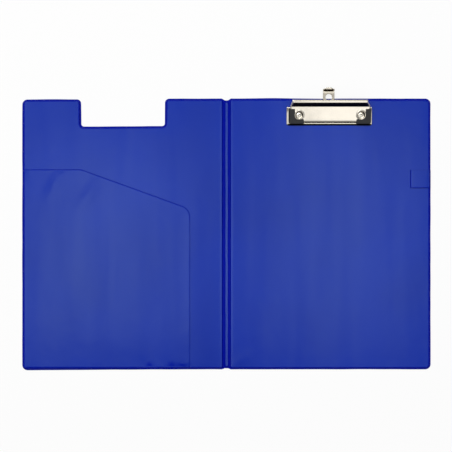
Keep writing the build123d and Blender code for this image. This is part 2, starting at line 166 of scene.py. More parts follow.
folder = {
    "left": coverLow[0], "right": boardHigh[0],
    "bottom": boardLow[1], "top": boardHigh[1],
    "film": boardLow[2],              # the inner film starts on top of the outer one
    "face": boardHigh[2],
    "cornerRadius": 6.2,
    "weldWidth": 1.3,                 # flat heat-welded rim
    "wallEnd": 2.3,                   # where the film has climbed onto the board
    "foldX": joints["spine_fold"]["pos_m"][0] / mm,
    "step": 2.4,                      # spacing of points along an edge
    "grid": 4.5, "sway": 0.24,        # spacing of points on the faces, and how far each is nudged
    "gridInset": 6.4,                 # where they start, from the edges
    "sag": (20, 239, 0.95),           # the cover's edges hang lower to the left: from, to, how much
    "bow": (48, 42, 0.45),            # the board's top edge bows up beside the spine: middle, width, height
    # waves of the film over its boards: lean, 1 or the share that draws them out up the page, size, seed, height
    "waves": ((0, 1, 95, 1, 0.14), (0.10, 0.07, 15, 2, 0.13), (0.10, 0.12, 33, 4, 0.16), (0, 1, 28, 3, 0.03)),
    # soft diagonal creases near the foot of the spine: x, y, width, length, height
    "creases": ((20.0, -151.0, 5.5, 12.0, 0.40), (33.0, -125.0, 8.0, 16.0, 0.32)),
}
clipX = (clipLow[0] + clipHigh[0]) / 2

notch = {
    "x": -clipX - 0.2, "half": 49.1, "floorHalf": 48.8, "depth": 32.0, "mouthRadius": 5.0, "floorRadius": 3.0,
}

spine = {
    "plateau": 5.5, "foot": 4.3, "valley": 3.2, "ridgeHalf": 1.18, "ridgeX": 0.28, "ridgeFoot": 0.6,
    "shoulder": 0.30, "shoulderRun": 1.5, "rows": 150,
    "ringGap": 11, "gridGap": 12.5,   # half widths that the rings and the faces' points leave to the lines below
    "ridgeHeight": 1.05, "valleyHeight": 0.46, "footHeight": 0.62,
    "scallopHalf": 4.6, "topScallop": 2.2, "bottomScallop": 1.3, "scallopFlare": 0.6, "scallopRadii": (2.4, 2.0),
    "lines": (0, 0.3, 0.6, 0.9, 1.2, 1.5, 1.75, 2.0, 2.2, 2.45, 2.7, 3.0, 3.3, 3.7, 4.1, 4.4, 4.6, 4.8,
              5.0, 5.2, 5.4, 5.6, 5.8, 6.05, 6.3, 6.7, 7.4, 8.6, 10.5),
}
ringInsets = (0.0, 0.12, 0.35, 0.6, 0.8, 1.0, 1.3, 1.55, 1.8, 2.05, 2.3, 2.7, 3.4, 4.4)


# Outline of the folder with its notch and the dips at the spine's ends

def roundedCorner(before, here, after, radius):
    # the arc's start, centre and end, the directions back and forth, and half of the angle between them
    here = Vector(here)
    back, forth = ((Vector(other) - here).normalized() for other in (before, after))
    half = back.angle(forth) / 2
    reach = radius / math.tan(half)
    centre = here + (back + forth).normalized() * (radius / math.sin(half))
    return here + back * reach, centre, here + forth * reach, back, forth, half


def roundedLoop(corners, step):
    # corners are (x, y, radius), anticlockwise; returns points with their inward directions
    arcs, points = [], []
    for i, (x, y, radius) in enumerate(corners):
        before, after = (corners[k % len(corners)][:2] for k in (i - 1, i + 1))
        start, centre, end, back, forth, half = roundedCorner(before, (x, y), after, radius)
        side = 1 if back.x * forth.y < back.y * forth.x else -1          # 1 at an outer corner
        pieces = max(2, math.ceil((math.pi - 2 * half) * radius / (step * 0.4)))
        first = math.atan2(start.y - centre.y, start.x - centre.x)
        sweep = (math.pi - 2 * half) * side
        angles = [first + sweep * k / pieces for k in range(pieces + 1)]
        spokes = [Vector((math.cos(angle), math.sin(angle))) for angle in angles]
        arcs.append((start, [(centre + spoke * radius, spoke * -side) for spoke in spokes], end, forth))
    for (_, arc, end, forth), (finish, *_) in zip(arcs, arcs[1:] + arcs[:1]):
        run = finish - end
        pieces = max(1, math.ceil(run.length / step))
        inward = Vector((-forth.y, forth.x))
        points += arc + [(end + run * (k / pieces), inward) for k in range(1, pieces)]
    return points


def folderCorners():
    f, s, n = folder, spine, notch
    left, right, bottom, top, r = (f[key] for key in ("left", "right", "bottom", "top", "cornerRadius"))
    outer, inner = s["scallopHalf"] + s["scallopFlare"], s["scallopHalf"] * 0.45
    shoulder, hollow = s["scallopRadii"]
    low, high, floor = bottom + s["bottomScallop"], top - s["topScallop"], top - n["depth"]
    return [
        (left, bottom, r),
        (-outer, bottom, shoulder), (-inner, low, hollow), (inner, low, hollow), (outer, bottom, shoulder),
        (right, bottom, r), (right, top, r),
        (outer, top, shoulder), (inner, high, hollow), (-inner, high, hollow), (-outer, top, shoulder),
        (n["x"] + n["half"], top, n["mouthRadius"]), (n["x"] + n["floorHalf"], floor, n["floorRadius"]),
        (n["x"] - n["floorHalf"], floor, n["floorRadius"]), (n["x"] - n["half"], top, n["mouthRadius"]),
        (left, top, r),
    ]


def edgeDistance(x, y):
    # distance from the folder's outline, for points well inside it
    f, n = folder, notch
    distance = min(x - f["left"], f["right"] - x, y - f["bottom"], f["top"] - y)
    dx = abs(x - n["x"]) - n["half"]
    dy = (f["top"] - n["depth"]) - y
    outside = math.hypot(max(dx, 0), max(dy, 0)) if max(dx, dy) > 0 else max(dx, dy)
    return min(distance, outside)


# Heights of the inner film's upper surface

def panelLift(x, y):
    # the film lies over the board in slow, shallow waves and faint upright streaks, pulled tight in the press
    lift = 0.02
    for lean, upright, size, seed, height in folder["waves"]:
        lift += height * (0.5 + 0.5 * wave(x + lean * y * math.copysign(1, x), y * upright, size, seed))
    for cx, cy, width, length, height in folder["creases"]:
        along, aside = ((x - cx) + (y - cy)) * 0.7071, ((x - cx) - (y - cy)) * 0.7071
        lift += height * math.exp(-(aside / width) ** 2 - (along / length) ** 2)
    return lift


def ridgeProfile(x, y):
    # the bead along the middle: a top that leans a little to the right, and steep flanks
    s = spine
    centre = s["ridgeX"] + 0.20 * wave(0, y, 34, 5) + 0.08 * wave(0, y, 11, 6)
    half = s["ridgeHalf"] * (1 + 0.10 * wave(1, y, 26, 9))
    across = (x - centre) / half
    flank = 1 - smoothStep(1.0, 1.0 + s["ridgeFoot"] / half, abs(across))
    lean = 0.11 * (1 + 0.3 * wave(5, y, 40, 12))
    crown = s["ridgeHeight"] * (1 + 0.10 * wave(3, y, 22, 8)) - lean * half * across - 0.03 * across * across
    return flank * crown


def spineHeight(x, y):
    s, f = spine, folder
    across = abs(x)
    climb = smoothStep(s["foot"], s["plateau"], across)
    floor = s["valleyHeight"] + (s["footHeight"] - s["valleyHeight"]) * smoothStep(s["valley"], s["foot"], across)
    shoulder = s["shoulder"] * math.exp(-max(0.0, across - s["plateau"]) / s["shoulderRun"])
    panel = floor + (f["face"] + panelLift(x, y) - shoulder - floor) * climb
    return panel + max(0.0, ridgeProfile(x, y)) * (across < s["valley"])


press = {
    # depths of the groove along a weld and of the rounded cut edge, and of the crease outside each spine fold
    "inside": (0.07, 0.10), "outside": (0.05, 0.08), "crease": 0.10,
    "grooveAt": 0.8, "grooveWidth": 0.16, "edgeWidth": 0.12, "creaseWidth": 0.35,
}


def bell(offset, width):
    return math.exp(-(offset / width) ** 2)


def pressed(inset, side):
    groove, edge = press[side]
    return groove * bell(inset - press["grooveAt"], press["grooveWidth"]), edge * bell(inset, press["edgeWidth"])


def insideHeight(x, y, inset):
    f = folder
    rim = 2 * f["film"]
    centre = spineHeight(x, y)
    if inset >= ringInsets[-1]:
        return centre
    groove, edge = pressed(inset, "inside")
    climb = smoothStep(f["weldWidth"], f["wallEnd"], inset)
    low = min(rim, centre) - groove - edge
    return low + (centre - min(rim, centre)) * climb + (groove + edge) * climb


def outsideHeight(x, inset):
    # lowest surface of the outer film; it lies on the table, pressed in at the welds and creases
    groove, edge = pressed(inset, "outside")
    return groove + edge + press["crease"] * bell(abs(x) - spine["valley"], press["creaseWidth"])


weldMarks = {"rim": 0.9, "rimFade": (2.5, 3.4), "creaseInner": (1.35, 1.8), "creaseOuter": (4.9, 5.5),
             "bead": 0.3, "beadFade": (1.0, 1.4), "beadEnds": (2.0, 6.0)}


def weldAmount(x, inset):
    # up to 1 on the heat-welded rim and in the creases, where the film is darker; below 0 on the shiny bead
    # over the rim's climb onto the board and on the creases' steep walls the darker mark is painted shade
    w = weldMarks
    rim = w["rim"] * (1 - smoothStep(*w["rimFade"], inset))
    off = abs(x - spine["ridgeX"] * (abs(x) < spine["valley"]))
    crease = smoothStep(*w["creaseInner"], off) * (1 - smoothStep(*w["creaseOuter"], off))
    fromEnd = w["beadEnds"][1] - inset
    bead = w["bead"] * (1 - smoothStep(*w["beadFade"], off)) * (1 - smoothStep(*w["beadEnds"], fromEnd))
    return min(1.0, max(rim, crease)) if off > w["creaseInner"][0] or rim > 0 else -bead


def coverSag(x, y):
    # the photographed folder isn't quite square: its cover hangs lower towards the left, the board's top edge bows up
    near, far, drop = folder["sag"]
    sag = drop * smoothStep(near, far, -x)
    middle, width, height = folder["bow"]
    bow = height * bell(x - middle, width) if x > 0 and y > 100 else 0.0
    return (sag - bow) * (1 - smoothStep(0, 6, edgeDistance(x, y) - 2))


def skinPoints():
    # plan points of the folder's film: rings that follow the outline, lines along the spine, a grid
    f = folder
    loop = roundedLoop(folderCorners(), f["step"])
    plan, insets, constraints = [], [], loopOf(len(loop))
    count, last = spine["rows"], ringInsets[-1]
    for inset in ringInsets:
        for point, inward in loop:
            ragged = 0.22 * wave(point.x, point.y, 23, 11) * (1 - smoothStep(0, 2.3, inset))
            moved = point + inward * (inset + ragged)
            if abs(moved.x) < spine["ringGap"] and inset > 0:
                continue
            plan.append(Vector((moved.x, moved.y - coverSag(moved.x, moved.y))))
            insets.append(inset)
    for line in spine["lines"]:
        for side in ((-1, 1) if line else (1,)):
            low = edgeAlong(loop, side * line, False)
            high = edgeAlong(loop, side * line, True)
            stops = [low + i for i in ringInsets[1:]]
            stops += [low + last + (high - low - 2 * last) * k / count for k in range(1, count)]
            stops += [high - i for i in reversed(ringInsets[1:])]
            start = len(plan)
            for y in stops:
                plan.append(Vector((side * line, y)))
                insets.append(min(y - low, high - y))
            constraints += [(k, k + 1) for k in range(start, len(plan) - 1)]
    for x, y in loosePoints((f["left"], f["bottom"], f["right"], f["top"]), f["grid"], f["sway"]):
        inset = edgeDistance(x, y)
        if inset > f["gridInset"] and abs(x) > spine["gridGap"]:
            plan.append(Vector((x, y)))
            insets.append(inset)
    return plan, insets, constraints


def edgeAlong(loop, x, upper):
    # height on the page of the folder's lower or upper edge near the spine, at x
    middle = (folder["bottom"] + folder["top"]) / 2
    side = [p for p, _ in loop if abs(p.x) < 14 and (p.y > middle) == upper]
    side.sort(key=lambda p: p.x)
    for a, b in zip(side, side[1:]):
        if a.x <= x <= b.x:
            return a.y + (b.y - a.y) * (x - a.x) / max(1e-6, b.x - a.x)
    return side[0].y


def closedShell(name, above, below, triangles, material, **marks):
    # a closed thin sheet from a triangulation: a point for each side of every corner, and point values by name
    used = sorted({i for t in triangles for i in t})
    index = {old: new for new, old in enumerate(used)}
    count = len(used)
    points = [above[i] for i in used] + [below[i] for i in used]
    faces, border = [], {}
    for a, b, c in triangles:
        a, b, c = index[a], index[b], index[c]
        faces.append((a, b, c))
        faces.append((c + count, b + count, a + count))
        for edge in ((a, b), (b, c), (c, a)):
            if not border.pop(edge[::-1], False):
                border[edge] = True
    sides = len(border)
    faces += [(b, a, a + count, b + count) for a, b in border]
    piece = addObject(name, points, faces, material)
    for polygon in piece.data.polygons[-sides:]:
        polygon.use_smooth = False
    for mark, values in marks.items():
        markPoints(piece, mark, [values[i] for i in used] * 2)
    return piece


def markPoints(piece, name, values):
    attribute = piece.data.attributes.new(name, "FLOAT", "POINT")
    attribute.data.foreach_set("value", values)


def closedSheet(name, plan, triangles, upper, lower, material, **marks):
    # a closed sheet from a flat triangulation, with a height for each side of every point
    above, below = ([(p.x, p.y, h) for p, h in zip(plan, heights)] for heights in (upper, lower))
    return closedShell(name, above, below, triangles, material, **marks)


def triangulate(plan, constraints):
    points, _, faces, origins, _, _ = delaunay_2d_cdt(plan, constraints, [], 1, 1e-5)
    return points, faces, origins


# Materials

spread = {"From Min": 0.3, "From Max": 0.7}       # the range that a noise texture really fills


def shadeVinyl(tree):
    # PVC film, calendered and heat-welded: saturated blue with a soft satin veil of light over it
    look = {"blue": "#0226a1", "weld": "#000a93", "sheen": "#ddffff", "roughness": 0.26, "weldRoughness": 0.24}
    where = addNode(tree, "NewGeometry")
    weld = addNode(tree, "Attribute", {"attribute_name": "weld"}).outputs["Fac"]
    # slow colour drift across a panel, about 120 mm
    drift = addNode(tree, "TexNoise", {"Scale": 8.0, "Detail": 2.0}, {"Vector": where})
    driftRange = addNode(tree, "MapRange", {**spread, "To Min": 0.92, "To Max": 1.06}, {"Value": drift})
    # the welds' darker colour is also painted shade: in the spine's creases, over the rim's climb, along cut edges
    colours = {"data_type": "RGBA", 6: linearColour(look["blue"]), 7: linearColour(look["weld"])}
    base = addNode(tree, "Mix", colours, {"Factor": weld})
    tinted = addNode(tree, "VectorMath", {"operation": "SCALE"}, {"Vector": base.outputs[2], "Scale": driftRange})
    roughness = addNode(tree, "MapRange", {"To Min": look["roughness"], "To Max": look["weldRoughness"]},
                        {"Value": weld})
    # upright streaks where the film was rubbed and stretched, some 20 mm apart and 250 mm long
    stretched = addNode(tree, "VectorMath", {"operation": "MULTIPLY", 1: (55.0, 4.0, 4.0)}, {0: where})
    streak = addNode(tree, "TexNoise", {"Scale": 1.0, "Detail": 3.0, "Distortion": 0.3}, {"Vector": stretched})
    gloss = addNode(tree, "MapRange", {**spread, "To Min": 0.44, "To Max": 0.57}, {"Value": streak})
    # below zero the value marks the stretched bead of the spine, which is shinier; the press leaves welds dull
    # the same mark takes the sheen off where shade is painted
    dull = addNode(tree, "MapRange", {"From Min": -1.0, "From Max": 0.55, "To Min": 2.45, "To Max": 0.12},
                   {"Value": weld})
    shine = addNode(tree, "Math", {"operation": "MULTIPLY"}, {0: gloss, 1: dull})
    # embossed grain of about 0.5 mm, drawn at 1.4 mm so that it shows
    grain = addNode(tree, "TexNoise", {"Scale": 700.0, "Detail": 3.0, "Roughness": 0.6}, {"Vector": where})
    # ripples of about 17 mm, where the board beneath shows through the film
    ripple = addNode(tree, "TexNoise", {"Scale": 60.0, "Detail": 1.0}, {"Vector": where})
    rippleBump = addNode(tree, "Bump", {"Strength": 0.25, "Distance": 0.0006}, {"Height": ripple})
    grainBump = addNode(tree, "Bump", {"Strength": 0.22, "Distance": 0.0001}, {"Height": grain, "Normal": rippleBump})
    return addNode(tree, "BsdfPrincipled", {"IOR": 1.58, "Specular Tint": linearColour(look["sheen"])},
                   {"Specular IOR Level": shine, "Base Color": tinted, "Roughness": roughness, "Normal": grainBump})


def shadeNickel(tree, colour, roughness):
    # bright nickel plate on pressed steel: warm, mirror-like, with faint rolling marks, and shade painted into its
    # recesses
    recess = addNode(tree, "Attribute", {"attribute_name": "recess"}).outputs["Fac"]
    # a near-black brown: shade painted into recesses, onto steep stretches and under the lip
    colours = {"data_type": "RGBA", 6: linearColour(colour), 7: linearColour("#8a7a5c", 0.14)}
    plate = addNode(tree, "Mix", colours, {"Factor": recess})
    where = addNode(tree, "NewGeometry")
    # rolling marks of about 11 mm
    haze = addNode(tree, "TexNoise", {"Scale": 90.0, "Detail": 4.0}, {"Vector": where})
    rough = addNode(tree, "MapRange", {**spread, "To Min": roughness * 0.8, "To Max": roughness * 1.3},
                    {"Value": haze})
    # handling has hazed the plate in clouds of about 25 mm, most near its left end
    clouds = addNode(tree, "TexNoise", {"Scale": 40.0, "Detail": 1.0}, {"Vector": where})
    across = addNode(tree, "SeparateXYZ", {}, {0: where})
    leftwards = addNode(tree, "MapRange", {"From Min": (clipX + 8) * mm, "From Max": (clipX - 38) * mm},
                        {"Value": across.outputs["X"]})
    hazed = addNode(tree, "Math", {"operation": "MULTIPLY"}, {0: clouds, 1: leftwards})
    dulled = addNode(tree, "Math", {"operation": "MULTIPLY_ADD", 1: 0.16}, {0: hazed, 2: rough})
    # sheared edges carry less polish than the faces
    sheared = addNode(tree, "Attribute", {"attribute_name": "sheared"}).outputs["Fac"]
    matt = addNode(tree, "Math", {"operation": "MULTIPLY_ADD", 1: 0.5}, {0: sheared, 2: dulled})
    # waves of pressed sheet: slight ones of about 8 mm on slow ones of about 45 mm
    wavy = addNode(tree, "TexNoise", {"Scale": 120.0, "Detail": 1.0}, {"Vector": where})
    broad = addNode(tree, "TexNoise", {"Scale": 22.0, "Detail": 1.0}, {"Vector": where})
    broadBump = addNode(tree, "Bump", {"Strength": 1.0, "Distance": 0.0012}, {"Height": broad})
    bump = addNode(tree, "Bump", {"Strength": 0.15, "Distance": 0.0002}, {"Height": wavy, "Normal": broadBump})
    return addNode(tree, "BsdfPrincipled", {"Metallic": 1.0},
                   {"Base Color": plate.outputs[2], "Roughness": matt, "Normal": bump})


def shadeRubber(tree):
    # moulded thermoplastic rubber: near black, matt, slightly pebbled
    where = addNode(tree, "NewGeometry")
    # pebbles of about 0.6 mm
    pebble = addNode(tree, "TexNoise", {"Scale": 1800.0, "Detail": 2.0}, {"Vector": where})
    bump = addNode(tree, "Bump", {"Strength": 0.3, "Distance": 0.0001}, {"Height": pebble})
    return addNode(tree, "BsdfPrincipled", {"Base Color": linearColour("#1c1c1e"), "Roughness": 0.55},
                   {"Normal": bump})


def shadeGreyboard(tree):
    # uncoated grey board: pulped fibre, matt, flecked
    where = addNode(tree, "NewGeometry")
    # flecks of fibre, about 1 mm
    fleck = addNode(tree, "TexNoise", {"Scale": 900.0, "Detail": 4.0}, {"Vector": where})
    colours = {"data_type": "RGBA", 6: linearColour("#8e877c"), 7: linearColour("#a59d90")}
    colour = addNode(tree, "Mix", colours, {"Factor": fleck})
    return addNode(tree, "BsdfPrincipled", {"Roughness": 0.9}, {"Base Color": colour.outputs[2]})


vinyl = makeMaterial("calenderedPvcFilm", shadeVinyl)
platedSteel = makeMaterial("brightNickelPlate", shadeNickel, "#e0d9cc", 0.11)
rivetNickel = makeMaterial("turnedRivetNickel", shadeNickel, "#ebe6da", 0.09)
hangerSteel = makeMaterial("satinNickelHanger", shadeNickel, "#cfc7b8", 0.14)
springWire = makeMaterial("drawnSpringWire", shadeNickel, "#8c8c8e", 0.3)
gripRubber = makeMaterial("mouldedGripRubber", shadeRubber)
greyboard = makeMaterial("uncoatedGreyboard", shadeGreyboard)
print("materials made")

# the springs keep their solids; every other solid is replaced by a piece made below
for node in ("torsion_spring_left", "torsion_spring_right"):
    nodes[node].data.materials.clear()
    nodes[node].data.materials.append(springWire)


# Clip: pressed tray, sprung lever, rubber grips and hanging tab, in drops below the board's top edge

clip = {
    "sheet": 0.8, "floor": folder["face"] + 0.8, "slope": 10.0,
    "halfWidth": 50.1, "shift": -0.7, "neckHalf": 42.6, "back": 10.3, "neckTop": 5.0, "front": 31.9, "corner": 2.6,
    "insets": (0.0, 0.1, 0.25, 0.3, 0.6, 0.9, 1.2, 1.5, 1.7, 1.85, 1.95, 2.3, 2.65, 2.95, 3.05, 3.12, 3.2, 3.4, 3.7),
    "grid": 2.2, "gridInset": 4.58,   # spacing of points on the floor, and where they start, from the edges
    # the rims' sections: distance from the edge and height above the board
    "sideRim": ((0, 0.2), (0.15, 1.2), (0.3, 1.38), (2.6, 2.36), (2.8, 2.3), (3.0, 0.95), (3.2, 0.8)),
    "frontRim": ((0, 0.25), (0.3, 0.52), (1.85, 1.92), (1.95, 1.98), (2.95, 2.12), (3.05, 2.06), (3.2, 0.9),
                 (3.4, 0.8)),
    "channelHalf": 10.0, "channelEnd": 26.4, "channelRise": 1.95,
    "channelSides": (-10.3, -10.0, -9.8, -9.55, 9.55, 9.8, 10.0, 10.3),
    "channelEnds": (25.75, 26.0, 26.15, 26.45, 26.65),
    "pinDrop": 11.6, "pinHeight": folder["face"] + 3.4,
}
lever = {
    "half": 46.4, "tipHalf": 43.9, "tipShift": -0.75, "lipDrop": 27.9, "lipFoot": folder["face"] + 1.05,
    "footDrop": 10.4, "topDrop": 6.35, "topHeight": folder["face"] + 11.95, "crestDrop": 4.9,
    "crestHeight": folder["face"] + 12.2, "tipDrop": 3.7, "rollDrop": 3.25, "rollHeight": folder["face"] + 10.4,
    "bends": (2.0, 0.8, 0.7, 2.0, 0.9), "edge": 0.9,
    "rivetX": 36.0, "rivetDrop": 20.0, "hole": 4.4, "ring": 5.9, "ringRise": 0.55,
}


def plateHeight(drop):
    # middle of the lever's plate at a drop below the board's top edge
    slope = math.radians(clip["slope"])
    return clip["pinHeight"] + 2.95 / math.cos(slope) - (drop - clip["pinDrop"]) * math.tan(slope)


def ramp(points, value):
    # straight lines between (value, height) pairs
    for (a, low), (b, high) in zip(points, points[1:]):
        if value <= b:
            return low + (high - low) * max(0.0, (value - a) / (b - a))
    return points[-1][1]


def cornerDistance(dx, dy, radius):
    if dx < radius and dy < radius:
        return radius - math.hypot(radius - dx, radius - dy)
    return min(dx, dy)


def trayRise(x, drop):
    # height of the tray's upper surface above the board, x from the clip's middle
    c = clip
    sideways, forwards = c["halfWidth"] - abs(x), c["front"] - drop
    distance = cornerDistance(sideways, forwards, c["corner"])
    share = smoothStep(0.3, 0.7, max(0.0, sideways) / max(1e-6, max(0.0, sideways) + max(0.0, forwards)))
    rim = ramp(c["sideRim"], distance) * (1 - share) + ramp(c["frontRim"], distance) * share
    if sideways > 20:
        rim = ramp(c["frontRim"], forwards)
    across = 1 - smoothStep(c["channelHalf"] - 0.4, c["channelHalf"] + 0.2, abs(x))
    along = 1 - smoothStep(c["channelEnd"] - 0.4, c["channelEnd"] + 0.2, drop)
    base = rim if sideways < 20 or forwards < 6 else 0.8
    return base + (c["channelRise"] - 0.8) * across * along * (forwards > 4)


def trayPaintedShade(x, drop):
    # 1 where shade is painted: the front wall, the gap under the lip and the floor behind it
    c = clip
    forwards, sideways = c["front"] - drop, c["halfWidth"] - abs(x)
    wall = (1 - smoothStep(1.75, 1.95, forwards)) * smoothStep(1.0, 2.5, sideways)
    gap = smoothStep(3.0, 3.12, min(forwards, sideways + 0.25))
    return max(wall, gap)


def makeTray():
    c = clip
    top = folder["top"]
    w, n = c["halfWidth"], c["neckHalf"]
    corners = [
        (-w, top - c["front"], c["corner"]), (w, top - c["front"], c["corner"]), (w, top - c["back"], 2.4),
        (n, top - c["back"], 0.5), (n, top - c["neckTop"], 0.8), (-n, top - c["neckTop"], 0.8),
        (-n, top - c["back"], 0.5), (-w, top - c["back"], 2.4),
    ]
    middle = clipX + c["shift"]
    loop = roundedLoop([(x + middle, y, r) for x, y, r in corners], 2.0)
    plan, constraints = [point + inward * inset for inset in c["insets"] for point, inward in loop], loopOf(len(loop))
    for x, y in loosePoints((middle - w, top - c["front"], middle + w, top), c["grid"], 0.2):
        if min(w - abs(x - middle), y - top + c["front"], top - c["back"] - y) > c["gridInset"]:
            plan.append(Vector((x, y)))
    # rows of points along the bends of the hanging tab's channel
    rows = [[(middle + x, top - 5.2 - 1.7 * k) for k in range(13)] for x in c["channelSides"]]
    rows += [[(middle + 1.3 * k, top - drop) for k in range(-7, 8)] for drop in c["channelEnds"]]
    for row in rows:
        constraints += [(len(plan) + k, len(plan) + k + 1) for k in range(len(row) - 1)]
        plan += [Vector(place) for place in row]
    plan, triangles, _ = triangulate(plan, constraints)
    upper = [folder["face"] + trayRise(q.x - middle, top - q.y) for q in plan]
    lower = [max(folder["face"], h - c["sheet"]) for h in upper]
    # painted shade on the front wall, under the lip and on the floor behind it
    recess = [trayPaintedShade(q.x - middle, top - q.y) for q in plan]
    return closedSheet("clip_tray", plan, triangles, upper, lower, platedSteel, recess=recess)


def prism(outline, start, end):
    # points and faces of an upright plate across X, from an outline of (drop, height)
    count = len(outline)
    points = [(clipX + x, folder["top"] - drop, z) for x in (start, end) for drop, z in outline]
    faces = [tuple(range(count)), tuple(range(2 * count - 1, count - 1, -1))]
    faces += [(k, k + count, (k + 1) % count + count, (k + 1) % count) for k in range(count)]
    return points, faces


def rolledEdge(radius, inset):
    # how far a rolled edge has dropped at a distance from the outline, as a height of 0 or less
    return -radius + math.sqrt(max(0.0, radius * radius - (radius - max(0.0, min(radius, inset))) ** 2))


def addPrisms(name, prisms, material, bevel):
    piece = addObject(name, *joinParts(prisms), material, smooth=False)
    edge = piece.modifiers.new("edge", "BEVEL")
    edge.width = bevel * mm
    edge.segments = 3
    edge.limit_method = "ANGLE"
    return piece


def roundEar(radius, first, last, count=14):
    # an arc about the pin, as (drop, height) pairs between two angles in degrees from straight forwards
    c = clip
    angles = [math.radians(first + (last - first) * k / count) for k in range(count + 1)]
    return [(c["pinDrop"] + radius * math.cos(a), c["pinHeight"] + radius * math.sin(a)) for a in angles]


def makeTrayEars():
    face = folder["face"]
    # a rising stretch of the side rim, rounded over the pin
    outline = [(17.0, face + 0.1), (17.0, face + 1.6), (15.2, face + 2.5), *roundEar(1.3, 30, 180, 10),
               (10.3, face + 0.1)]
    left, right = clip["shift"] - clip["halfWidth"] + 0.5, clip["shift"] + clip["halfWidth"] - 0.9
    prisms = [prism(outline, left, left + 1.1), prism(outline, right - 1.1, right)]
    return addPrisms("tray_ears", prisms, platedSteel, 0.4)


tray = makeTray()
ears = makeTrayEars()
for piece in (tray, ears):
    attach(piece, "clipboard")
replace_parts(tray, "clip_base")
print("tray made")


# Lever: one pressed sheet that follows a bent line, seen flat as x and the length along that line

def bentLine(corners, bends):
    # (drop, height) corners with a radius at each inner one, sampled finely round the bends
    line = [corners[0]]
    for k, radius in enumerate(bends, 1):
        start, centre, end, *_ = roundedCorner(*corners[k - 1:k + 2], radius)
        a, b = start - centre, end - centre
        turn = a.angle_signed(b)
        steps = max(3, math.ceil(math.degrees(abs(turn)) / 7))
        for i in range(steps + 1):
            angle = -turn * i / steps
            line.append((centre.x + a.x * math.cos(angle) - a.y * math.sin(angle),
                         centre.y + a.x * math.sin(angle) + a.y * math.cos(angle)))
    return line + [corners[-1]]


def lengthsAlong(line):
    lengths = [0.0]
    for a, b in zip(line, line[1:]):
        lengths.append(lengths[-1] + math.dist(a, b))
    return lengths


def onLine(line, lengths, s):
    # point and upper normal at a length along a bent line, with normals turning smoothly
    def way(k):
        a, b = line[max(0, k - 1)], line[min(len(line) - 1, k + 1)]
        return (Vector(b) - Vector(a)).normalized()
    for k in range(len(line) - 1):
        if s <= lengths[k + 1] or k == len(line) - 2:
            t = min(1.0, max(0.0, (s - lengths[k]) / max(1e-9, lengths[k + 1] - lengths[k])))
            here = Vector(line[k]).lerp(Vector(line[k + 1]), t)
            forward = way(k).lerp(way(k + 1), t).normalized()
            return here, Vector((forward.y, -forward.x))


def leverLine():
    v = lever
    corners = [(v["lipDrop"], v["lipFoot"]), (v["lipDrop"], plateHeight(v["lipDrop"])),
               (v["footDrop"], plateHeight(v["footDrop"])), (v["topDrop"], v["topHeight"]),
               (v["crestDrop"], v["crestHeight"]), (v["tipDrop"], v["crestHeight"]), (v["rollDrop"], v["rollHeight"])]
    return bentLine(corners, v["bends"])


def sheetOnLine(name, line, loop, holes, halfAt, lift, thickness, material, spacing, shift=0.0,
                middleAt=lambda s: 0.0):
    # a closed sheet with an outline, rows along every bend, and holes of (x, length, ring radii)
    lengths = lengthsAlong(line)
    plan, constraints = [], loopOf(len(loop))
    for inset in (0.0, 0.12, 0.28, 0.5, 0.75, 1.0):
        plan += [point + inward * inset for point, inward in loop if inset == 0 or abs(inward.x) > 0.6]
    rows = []
    for a, b in zip(lengths, lengths[1:]):
        pieces = max(1, round((b - a) / spacing))
        rows += [a + (b - a) * k / pieces for k in range(pieces)]
    for s in rows[1:]:
        reach = halfAt(s) - 1.15
        count = int(reach / spacing - 0.3)
        last = None
        for across in (-reach, *(k * spacing for k in range(-count, count + 1)), reach):
            x = across + middleAt(s)
            if any(math.hypot(x - hx, s - hs) < rings[-1] + 0.2 for hx, hs, rings in holes):
                last = None
                continue
            if last is not None:
                constraints.append((last, len(plan)))
            last = len(plan)
            plan.append(Vector((x, s)))
    turns = [2 * math.pi * k / 56 for k in range(56)]
    for hx, hs, rings in holes:
        constraints += loopOf(len(turns), len(plan))
        for radius in rings:
            plan += [Vector((hx + radius * math.cos(turn), hs + radius * math.sin(turn))) for turn in turns]
    plan, triangles, _ = triangulate(plan, constraints)
    kept = []
    for t in triangles:
        middle = sum((plan[i] for i in t), Vector((0, 0))) / 3
        if all(math.hypot(middle.x - hx, middle.y - hs) > rings[0] * 0.995 for hx, hs, rings in holes):
            kept.append(t)
    above, below, recess, sheared = [], [], [], []
    for q in plan:
        here, normal = onLine(line, lengths, q.y)
        outward = lift(q.x, q.y) + thickness / 2
        for offset, side in ((outward, above), (outward - thickness, below)):
            at = here + normal * offset
            side.append((clipX + shift + q.x, folder["top"] - at.x, at.y))
        # steep stretches face away from the light, and shade is painted on them
        steep = smoothStep(0.62, 0.75, normal.x) if normal.x > 0 else 0.7 * smoothStep(0.08, 0.3, -normal.x)
        fromSide = halfAt(q.y) - abs(q.x - middleAt(q.y))
        recess.append(steep * smoothStep(0.8, 1.3, fromSide))
        sheared.append(steep * (1 - smoothStep(0.7, 1.0, fromSide)))
    return closedShell(name, above, below, kept, material, recess=recess, sheared=sheared)


